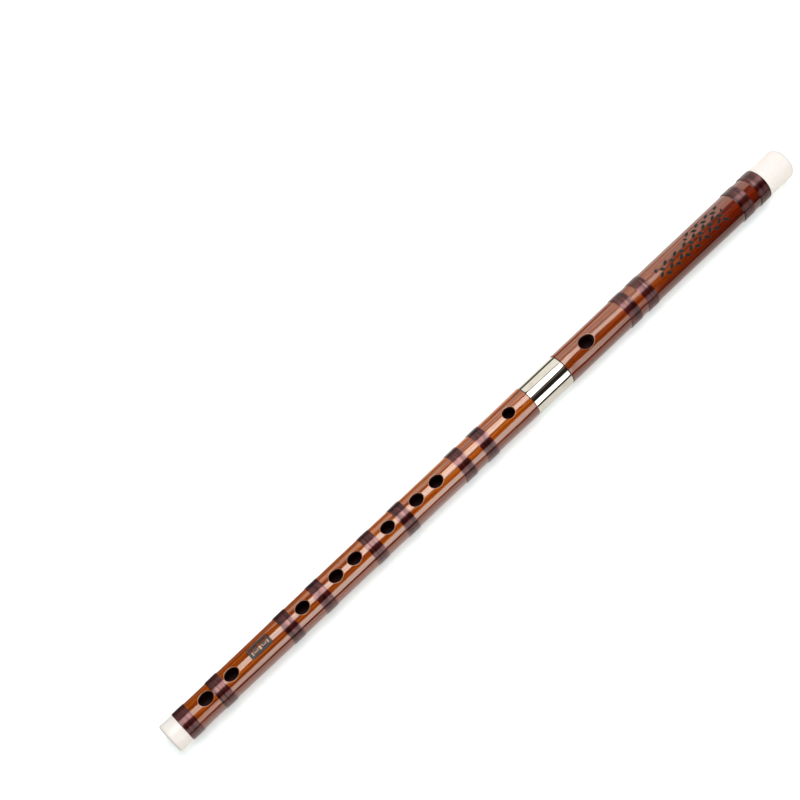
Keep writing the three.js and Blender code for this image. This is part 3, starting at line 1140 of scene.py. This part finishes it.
def foot_tube() -> BambooTube:
    """Describes the foot section: six finger holes, the membrane hole and four end holes.

    Returns:
        The foot section, not built yet.
    """
    shoulder, edge, inset, seat = FOOT_LENGTH, float(bamboo_radius(FOOT_LENGTH)), 8.05, 8.75
    rows = (((0.0728,), 10.7, 8.5, 0.0), ((0.1432,), 10.4, 7.9, 0.0),
            ((0.3418, 0.4368, 0.4904, 0.5857, 0.6699, 0.7276), 10.1, 8.3, 0.0),
            ((0.9436,), 9.0, 7.9, 0.0), ((0.201, 0.255), 8.6, 7.4, 180.0))
    return BambooTube(
        name="foot_bamboo", node="foot_section", body=Body.FOOT, slot=Slot.FOOT_BAMBOO,
        first=10.0, last=296.5,
        far_end=[(297.2, edge, 0), (shoulder, edge, 0.25), (shoulder, TENON_RADIUS, 0),
                 (TENON_END, TENON_RADIUS, 0.2), (TENON_END, BORE_RADIUS, 0.1),
                 (297.5, BORE_RADIUS, 0)],
        near_end=[(9.0, BORE_RADIUS, 0), (inset, BORE_RADIUS, 0), (inset, seat, 0),
                  (0.0, seat, 0), (0.0, FOOT_RADII[0], 0.25),
                  *((along, float(bamboo_radius(along)), 0) for along in (2.0, 9.0))],
        holes=[Hole(FOOT_LENGTH * share, length, width, turn)
               for shares, length, width, turn in rows for share in shares],
        finish=LacqueredBamboo("foot_lacquered_bamboo", stain="#9d4306", shade="#8a3503",
                               glow="#bd6212", dark="#702501", vessel="#3f1503",
                               ornament=LatticeBlock()),
        wander=Wander(amplitude=0.13, seed=11),
    )


def head_tube() -> BambooTube:
    """Describes the head section: the blow hole, set a few degrees towards the player.

    Returns:
        The head section, not built yet.
    """
    start, end, (near, far) = 318.15, HEAD_MOUTH + HEAD_LENGTH, HEAD_RADII
    return BambooTube(
        name="head_bamboo", node="head_section", body=Body.HEAD, slot=Slot.HEAD_BAMBOO,
        first=331.0, last=514.5,
        far_end=[(515.2, far, 0), (end, far, 0.25), (end, BORE_RADIUS, 0),
                 (515.2, BORE_RADIUS, 0)],
        near_end=[(330.0, BORE_RADIUS, 0), (start, BORE_RADIUS, 0), (start, SLIDE_RADIUS, 0.4),
                  (HEAD_MOUTH, SLIDE_RADIUS, 0), (HEAD_MOUTH, near, 0.3), (330.0, near, 0)],
        holes=[Hole(HEAD_MOUTH + 21.7, 11.7, 9.4, turn=-5.5)],
        finish=LacqueredBamboo("head_lacquered_bamboo", stain="#8e3704", shade="#792a02",
                               glow="#a54c0c", dark="#611c01", vessel="#381002",
                               ornament=LeafSprigs(), end_tint="#d29878"),
        wander=Wander(amplitude=0.16, seed=23),
    )


@dataclass
class TuningJoint:
    """The metal joint: a thin slide glued on the foot's tenon, and the bare sleeve over it.

    Sizes are in mm, and places are counted along the flute.
    """

    start: float = FOOT_LENGTH + GLUE_LINE
    slide_end: float = TENON_END
    sleeve_end: float = 329.15
    edge_round: float = 0.08
    chamfer: float = 0.4
    socket_edge_round: float = 0.1
    rim_round: float = 0.45
    finish: Finish = NICKEL_SILVER

    def build(self) -> None:
        """Turns the slide and the sleeve."""
        metal = self.finish.material()
        start, end, inner = self.start, self.slide_end, TENON_RADIUS + GLUE_LINE
        edge, socket_edge = self.edge_round, self.socket_edge_round
        turn_piece("joint_tube", [
            (start, inner, edge), (start, SLIDE_RADIUS, edge),
            (end - self.chamfer, SLIDE_RADIUS, 0.3), (end, SLIDE_RADIUS - self.chamfer, 0.12),
            (end, inner, edge)], metal, Body.FOOT, Slot.WHITE_METAL, "joint_slide")
        turn_piece("joint_sleeve", [
            (start, SOCKET_INNER_RADIUS, socket_edge), (start, SOCKET_RADIUS, self.rim_round),
            (self.sleeve_end, SOCKET_RADIUS, self.rim_round),
            (self.sleeve_end, SOCKET_INNER_RADIUS, socket_edge)],
            metal, Body.SOCKET, Slot.WHITE_METAL, "joint_socket")


@dataclass
class EndCaps:
    """The open ring on the foot end and the closed, rounded cap on the head end, in mm.

    A spigot is given by the place of its end and its radius.
    """

    foot_face: float = -0.05
    foot_end: float = -10.65
    foot_radius: float = 10.0
    foot_flare: float = 0.3
    foot_round: float = 1.6
    foot_spigot: tuple[float, float] = (8.0, 8.7)
    head_face: float = 516.25
    head_end: float = 539.85
    head_radius: float = 11.25
    head_round: float = 3.2
    head_spigot: tuple[float, float] = (504.2, 7.45)
    step: float = 1.5
    finish: Finish = MOULDED_CAP

    def build(self) -> None:
        """Turns both caps."""
        plastic = self.finish.material()
        depth, spigot = self.foot_spigot
        turn_piece("foot_cap_ring", [
            (self.foot_end, BORE_RADIUS, 0.3),
            (self.foot_end, self.foot_radius + self.foot_flare, self.foot_round),
            (self.foot_face, self.foot_radius, 0.15), (self.foot_face, spigot, 0),
            (depth, spigot, 0.2), (depth, BORE_RADIUS, 0.1)],
            plastic, Body.FOOT, Slot.CAP, "foot_cap", self.step)
        start, plug = self.head_spigot
        turn_piece("head_cap_dome", [
            (start, 0, 0), (start, plug, 0.4), (self.head_face, plug, 0),
            (self.head_face, self.head_radius, 0.15),
            (self.head_end, self.head_radius, self.head_round), (self.head_end, 0, 0)],
            plastic, Body.HEAD, Slot.CAP, "head_cap", self.step)


@dataclass
class Stopper:
    """Cork that closes the bore just past the blow hole, in mm."""

    start: float = 359.95
    length: float = 18.0
    radius: float = 7.45
    edge_round: float = 0.4
    step: float = 1.5
    sides: int = 64
    finish: Finish = RAW_CORK

    def build(self) -> None:
        """Turns the cork."""
        start, end = self.start, self.start + self.length
        turn_piece("cork_plug", [
            (start, 0, 0), (start, self.radius, self.edge_round),
            (end, self.radius, self.edge_round), (end, 0, 0)],
            self.finish.material(), Body.HEAD, Slot.CORK, "head_stopper", self.step, self.sides)


@dataclass
class Windings:
    """Twelve bands of thread, each one thread wound side by side and flooded with lacquer.

    Attributes:
        centres: middle of each band along the flute, in mm.
        width: width of a band, in mm.
        stand: how far the thread's crest stands over the bamboo, in mm.
        turns: how often the thread goes round.
        crossing: the part of a turn, behind the flute, in which the thread steps over.
        start: angle at which the thread starts, in degrees from +Z towards +Y.
        steps: cross-sections in a turn.
        section: points in a cross-section.
        squareness: powers that square its oval off, in width and in height.
        gaps: what a turn leaves free on each side, and what the thread is raised by, in mm.
        unevenness: how much turns differ in height and in place, in mm.
        tip: thickness of the thread's tips, as a share, and how fast it grows in a turn.
    """

    centres: tuple[float, ...] = (4.85, 32.05, 88.80, 116.11, 160.44, 186.94, 237.70, 257.11,
                                  388.20, 404.09, 495.59, 511.35)
    width: float = 9.3
    stand: float = 0.42
    turns: int = 8
    crossing: float = 0.12
    start: float = 158.4
    steps: int = 96
    section: int = 16
    squareness: tuple[float, float] = (0.9, 0.65)
    gaps: tuple[float, float] = (0.012, 0.01)
    unevenness: tuple[float, float] = (0.03, 0.012)
    tip: tuple[float, float] = (0.15, 14.0)
    finish: Finish = LacqueredThread()

    def build(self) -> None:
        """Builds one piece for each band, with its tone and its height at each vertex."""
        thread = self.finish.material()
        for number, centre in enumerate(self.centres, 1):
            surface = self.band(centre, seed=number)
            band = surface.to_object(f"winding_{number:02d}", [thread])
            for name, values in ((TURN_TONE, self.tones(surface, seed=number)),
                                 (THREAD_CREST, self.crests(surface))):
                attribute = band.data.attributes.new(name, "FLOAT", "POINT")
                attribute.data.foreach_set("value", values.astype(np.float32))
            body = Body.FOOT if centre < FOOT_LENGTH else Body.HEAD
            place(band, body, Slot.THREAD, f"binding_{number:02d}")

    def advance(self, t: np.ndarray) -> np.ndarray:
        """Turns laid after t: floor(t) + 3 c^2 - 2 c^3, with c from 0 to 1 over a crossing."""
        c = np.clip((t % 1 - 1 + self.crossing) / self.crossing, 0, 1)
        return np.floor(t) + 3 * c ** 2 - 2 * c ** 3

    def tones(self, surface: Surface, seed: int) -> np.ndarray:
        """Gives each turn a tone of its own, looked up by how far round a vertex is.

        Args:
            surface: the thread.
            seed: seed of the tones.

        Returns:
            The tone at each vertex, from 0 to 1.
        """
        tones = np.random.default_rng(100 + seed).uniform(0, 1, self.turns)
        t = (math.radians(self.start) - surface.points[:, 1]) / (2 * np.pi)
        return np.interp(self.advance(t + 1e-6), np.arange(self.turns), tones)

    def crests(self, surface: Surface) -> np.ndarray:
        """Gives each vertex its height on the thread, max(sin p, 0), from groove to crest."""
        p = 2 * np.pi * (np.arange(len(surface.points)) % self.section) / self.section
        return np.maximum(np.sin(p), 0)

    def band(self, centre: float, seed: int) -> Surface:
        """Carries the thread's cross-section round the flute, turn beside turn.

        The cross-section is a flattened oval, w * |cos p|^0.9 wide and h * |sin p|^0.65 high.
        Its middle goes round as angle = start - 2 pi t and along = edge + pitch * (advance(t)
        + 1/2), for t from 0 to the number of turns less a crossing. Every turn sits a few
        hundredths of a millimetre higher or lower than the next, and the ends taper off.

        Args:
            centre: middle of the band, in mm.
            seed: seed of the small differences between turns.

        Returns:
            The closed surface of the thread.
        """
        chance = np.random.default_rng(seed)
        pitch = self.width / self.turns
        end = self.turns - self.crossing
        t = np.linspace(0, end, round(end * self.steps) + 1)[:, None]
        lift, drift = (np.interp(t, knots, chance.normal(0, size, len(knots)))
                       for knots, size in zip((np.arange(self.turns),
                                               np.arange(0, self.turns, 0.5)), self.unevenness))
        tip, growth = self.tip
        taper = np.clip(np.minimum(t, end - t) * growth + tip, 0, 1) ** 0.5
        along = centre - self.width / 2 + pitch * (self.advance(t) + 0.5) + drift
        p = 2 * np.pi * np.arange(self.section) / self.section
        wide, high = (np.sign(wave) * np.abs(wave) ** power
                      for wave, power in zip((np.cos(p), np.sin(p)), self.squareness))
        half = (self.stand + lift) / 2 * taper
        points = grid_points(
            along + (pitch / 2 - self.gaps[0]) * wide * taper,
            math.radians(self.start) - 2 * np.pi * t,
            bamboo_radius(along) + self.gaps[1] + half + half * high)
        surface = Surface(points.reshape(-1, 3))
        surface.add_faces(grid_faces(len(t), self.section, wrap_rows=False)[0])
        surface.close_ends(self.section, points.mean(1)[[0, -1]])
        return surface


@dataclass(frozen=True)
class Softbox:
    """A rectangular studio lamp that runs along the flute. Angles in degrees, sizes in metres.

    Attributes:
        name: name of the lamp.
        near: one edge's angle about the flute, from +Z towards +Y.
        far: the other edge's angle.
        distance: from the flute's axis to its middle.
        ends: its two ends along the flute.
        radiance: brightness of the middle of its face, where 1 is white.
        colour: colour of its light.
        fade: how fast it gets darker to its ends, as 1 - fade * (distance from its middle)^2.
        taper: how many degrees each edge moves in at the end on the head's side.
        mirrored: whether glossy surfaces mirror it.
        tapered: the stretch along the flute over which the edges move in.
        soft: half of the angle over which a tapered edge fades, in radians.
    """

    name: str
    near: float
    far: float
    distance: float
    ends: tuple[float, float]
    radiance: float
    colour: str
    fade: float = 0.0
    taper: float = 0.0
    mirrored: bool = True
    tapered: tuple[float, float] = (0.33, 0.45)
    soft: float = 0.005

    def build(self) -> None:
        """Makes the lamp face the flute.

        Its width is 2 * distance * tan(half of the angle between its edges), and its power is
        radiance * pi * area.
        """
        turn, half = (math.radians(angle) / 2
                      for angle in (self.near + self.far, self.far - self.near))
        middle, length = sum(self.ends) / 2, self.ends[1] - self.ends[0]
        width = 2 * self.distance * math.tan(abs(half))
        data = bpy.data.lights.new(self.name, "AREA")
        data.shape, data.size, data.size_y = "RECTANGLE", length, width
        data.energy = self.radiance * math.pi * length * width
        data.color = linear(self.colour)[:3]
        data.use_nodes = True
        tree = data.node_tree
        x, y, z = add_node(tree, Kind.POSITION).axes()
        share = 1.0 - abs(x - middle) ** 2.0 * self.fade
        if self.taper:
            inside = abs(half) - x.to(Kind.RAMP, *self.tapered, 0.0, math.radians(self.taper))
            beyond = abs(y.to(Kind.ANGLE, z) - turn) - inside
            share = share * beyond.to(Kind.RAMP, self.soft, -self.soft)
        feed(tree.nodes["Emission"], {"Strength": share})
        lamp = add_object(self.name, data)
        lamp.visible_glossy = self.mirrored
        spot = Vector((middle, self.distance * math.sin(turn), self.distance * math.cos(turn)))
        lamp.matrix_world = Matrix.Translation(spot) @ Matrix.Rotation(-turn, 4, "X")
        log.info("%s: %.2f by %.2f m", self.name, length, width)


@dataclass(frozen=True)
class StudioPaper(Finish):
    """White paper under the flute, lit evenly enough to look white to the camera.

    What the flute mirrors of it is shaped apart from that, and carries painted shade under and
    beside the flute and a painted shadow towards the head. The lit paper ends on both sides, and
    the dark room shows beyond it. Each ramp is over x or y, in metres.
    """

    name: str = "studio_paper"
    # the lit paper's edge on the left lies at these y, which grow with x
    left_edges: tuple[Ramp, ...] = ((-0.19, 0.06, 0.020, 0.074), (0.16, 0.23, 0.0, 0.4))
    left_soft: Ramp = (0.022, -0.022)
    right_end: Ramp = (-0.135, -0.105)
    # painted shade in what the flute mirrors: darker in a strip under and beside the flute, and
    # in strips towards the head as a painted shadow; each (over y, over x)
    right_of: Ramp = (0.02, 0.006)
    under: Ramp = (-0.019, 0.004, 0.0, 0.9)
    left_shadow_strip: tuple[Ramp, ...] = ((0.05, 0.02), (0.006, 0.014))
    left_shadow_strip_share: Ramp = (0.02, 0.2, 0.0, 0.4)
    right_shadow_strip: Ramp = (-0.012, -0.02)
    right_shadow_strip_share: Ramp = (-0.1, 0.18, 0.04, 0.36)
    room: str = "#2e2b28"
    mirrored: str = "#eae8e4"
    # glow of the room on the left and on the right, and what the lit paper adds
    room_glow: tuple[float, float] = (0.09, 0.02)
    paper_glow: float = 0.3
    # colour and glow as it lights other surfaces, and as the camera sees it
    lighting: tuple[str, float] = ("#e8e3d9", 0.09)
    seen: tuple[str, float] = ("#f2ffff", 0.43)

    def dress(self, tree: Tree) -> None:
        """Mixes three papers, by what looks at them.

        Args:
            tree: the new material's node tree.
        """
        tree.nodes.remove(tree.nodes["Principled BSDF"])
        mirror = add_node(tree, Kind.FROM_GLOSS).to(Kind.MOST, add_node(tree, Kind.FROM_GLASS))
        x, y, _ = add_node(tree, Kind.PLACE).axes()
        side = y
        for edge in self.left_edges:
            side = side - x.to(Kind.RAMP, *edge)
        right = y.to(Kind.RAMP, *self.right_of)
        # painted shade and painted shadow of the mirrored paper
        darker = x.to(Kind.RAMP, *self.left_shadow_strip_share)
        for strip in self.left_shadow_strip:
            darker = darker * y.to(Kind.RAMP, *strip)
        darker = darker + y.to(Kind.RAMP, *self.right_shadow_strip) * x.to(
            Kind.RAMP, *self.right_shadow_strip_share) + right * y.to(Kind.RAMP, *self.under)
        lit = side.to(Kind.RAMP, *self.left_soft) * y.to(Kind.RAMP, *self.right_end)
        lit = lit * (1.0 - darker)
        tone = lit.to(Kind.LAY, self.room, self.mirrored)
        left_glow, right_glow = self.room_glow
        glow = lit * self.paper_glow + (right * (right_glow - left_glow) + left_glow)
        paper = None
        for share, colour, strength in ((1.0, *self.lighting), (mirror, tone, glow),
                                        (add_node(tree, Kind.FROM_CAMERA), *self.seen)):
            diffuse = add_node(tree, Kind.DIFFUSE, colour)
            both = diffuse.to(Kind.BOTH, add_node(tree, Kind.EMIT, "#ffffff", strength))
            paper = add_node(tree, Kind.EITHER, share, paper, both) if paper else both
        feed(tree.nodes["Material Output"], {"Surface": paper})


@dataclass(frozen=True)
class StudioRoom:
    """The room round the flute: dark overhead, with a bright wall to its left.

    The room's colour depends on the angle about the flute alone, atan2(y, z). The wall starts
    at x = 0.06 + 0.14 * ((78 - angle) / 39.6)^2.5, with x the part of the direction that runs
    along the flute. Angles are in degrees.

    Attributes:
        stops: (angle from +Z towards +Y, colour, strength) of the room.
        wall: colour and strength of the wall.
        bend: the five numbers of the formula for its start.
        start_soft: how its start fades.
        end: where it ends along the flute.
        low: (over the angle, over x) of its lower edge, and how that edge moves along the flute.
        high: the same for its upper edge.
    """

    stops: tuple[tuple[float, str, float], ...] = (
        (-180, "#fbf8f2", 0.95), (-95, "#fbf8f2", 0.9), (-91, "#3a3633", 1.0),
        (-40, "#2a2624", 1.0), (-28, "#2a2624", 1.0), (-20, "#6a6663", 1.0),
        (30, "#5c5856", 1.0), (36, "#2a2624", 1.0), (91, "#3a3633", 1.0), (95, "#fbf8f2", 0.9),
        (180, "#fbf8f2", 0.95),
    )
    wall: tuple[str, float] = ("#fbf9f2", 1.2)
    bend: tuple[float, ...] = (0.06, 0.14, 78.0, 39.6, 2.5)
    start_soft: Ramp = (-0.015, 0.015)
    end: Ramp = (0.62, 0.5)
    low: tuple[Ramp, Ramp] = ((31.0, 35.5), (0.22, 0.38, 0.0, 11.0))
    high: tuple[Ramp, Ramp] = ((86.0, 82.0), (0.37, 0.41, 0.0, 10.0))

    def build(self) -> None:
        """Builds the world, which the camera sees as plain white."""
        world = bpy.data.worlds.new("studio_room")
        bpy.context.scene.world = world
        world.use_nodes = True
        tree = world.node_tree
        x, y, z = add_node(tree, Kind.DIRECTION).axes()
        angle = y.to(Kind.ANGLE, z)
        room = (angle * (0.5 / math.pi) + 0.5).to(Kind.STOPS)
        stops = room.socket.node.color_ramp.elements
        for number, (degrees, colour, strength) in enumerate(self.stops):
            spot = (degrees + 180) / 360
            stop = stops[number] if number < 2 else stops.new(spot)
            stop.position, stop.color = spot, brightened(colour, strength)
        turned = angle * DEGREES
        base, share, top, span, power = self.bend
        curve = ((top - turned) * (1 / span)).to(Kind.MOST, 0.0) ** power
        wall = (x - (curve * share + base)).to(Kind.RAMP, *self.start_soft)
        wall = wall * x.to(Kind.RAMP, *self.end)
        (low, low_move), (high, high_move) = self.low, self.high
        wall = wall * (turned + x.to(Kind.RAMP, *low_move)).to(Kind.RAMP, *low)
        wall = wall * (turned - x.to(Kind.RAMP, *high_move)).to(Kind.RAMP, *high)
        lit = wall.to(Kind.LAY, room, brightened(*self.wall))
        white = add_node(tree, Kind.FROM_CAMERA).to(Kind.LAY, lit, "#ffffff")
        feed(tree.nodes["Background"], {"Color": white})


@dataclass
class Studio:
    """Floor, surroundings, lamps and camera.

    Attributes:
        softboxes: two lamps that the flute mirrors, and two that only fill its shadows.
        paper: the floor's finish.
        floor_half: half of the floor's width, in metres.
        room: the surroundings.
        eye: place of the camera, in metres.
        right: direction of the picture's right side.
        up: direction of the picture's top.
        focal: focal length in picture widths.
        sensor: width of the camera's sensor, in mm.
        clip: nearest and farthest distance that the camera sees, in metres.
    """

    softboxes: tuple[Softbox, ...] = (
        Softbox("softbox_left", -10.2, 26.8, 1.15, (-0.36, 0.585), 5.0, "#fffdf9", 2.7, 5.0),
        Softbox("softbox_right", -83.0, -50.4, 1.15, (-0.36, 0.56), 3.45, "#fffdfa", 3.7),
        Softbox("fill_left", -4.0, 56.0, 1.3, (-1.0, 0.9), 0.57, "#fffefc", mirrored=False),
        Softbox("fill_right", -80.0, -20.0, 1.3, (-1.0, 0.9), 0.33, "#fffefc", mirrored=False),
    )
    paper: StudioPaper = StudioPaper()
    floor_half: float = 4.0
    room: StudioRoom = StudioRoom()
    eye: tuple[float, float, float] = (-0.26125, -0.35681, 1.08437)
    right: tuple[float, float, float] = (0.71917, -0.68651, -0.10724)
    up: tuple[float, float, float] = (0.66454, 0.63450, 0.39471)
    focal: float = 1815 / 800
    sensor: float = 36.0
    clip: tuple[float, float] = (0.01, 50.0)

    def build(self) -> None:
        """Builds the whole studio."""
        for softbox in self.softboxes:
            softbox.build()
        self.build_floor()
        self.room.build()
        self.build_camera()
        bpy.context.scene.view_settings.view_transform = "Standard"

    def build_floor(self) -> None:
        """Lays a large pale floor under the flute, white where no shadow falls."""
        far, near = self.floor_half, -self.floor_half
        mesh = bpy.data.meshes.new("floor")
        mesh.from_pydata([(near, near, 0), (far, near, 0), (far, far, 0), (near, far, 0)], [],
                         [(0, 1, 2, 3)])
        mesh.materials.append(self.paper.material())
        floor = add_object("floor", mesh)

    def build_camera(self) -> None:
        """Puts the camera where the photograph's was."""
        right, up = Vector(self.right).normalized(), Vector(self.up).normalized()
        back = right.cross(up).normalized()
        data = bpy.data.cameras.new("camera")
        data.sensor_width, data.lens = self.sensor, self.focal * self.sensor
        data.clip_start, data.clip_end = self.clip
        camera = add_object("camera", data)
        turn = Matrix((right, back.cross(right), back)).transposed().to_4x4()
        camera.matrix_world = Matrix.Translation(Vector(self.eye)) @ turn
        bpy.context.scene.camera = camera


def main() -> None:
    """Builds every sub-assembly and the studio."""
    Studio().build()
    hole_materials = BORE_LACQUER.material(), WORN_RIM_WITH_HIGHLIGHT.material()
    foot_tube().build(*hole_materials)
    head_tube().build(*hole_materials)
    TuningJoint().build()
    EndCaps().build()
    Stopper().build()
    Windings().build()


if __name__ == "__main__":
    main()
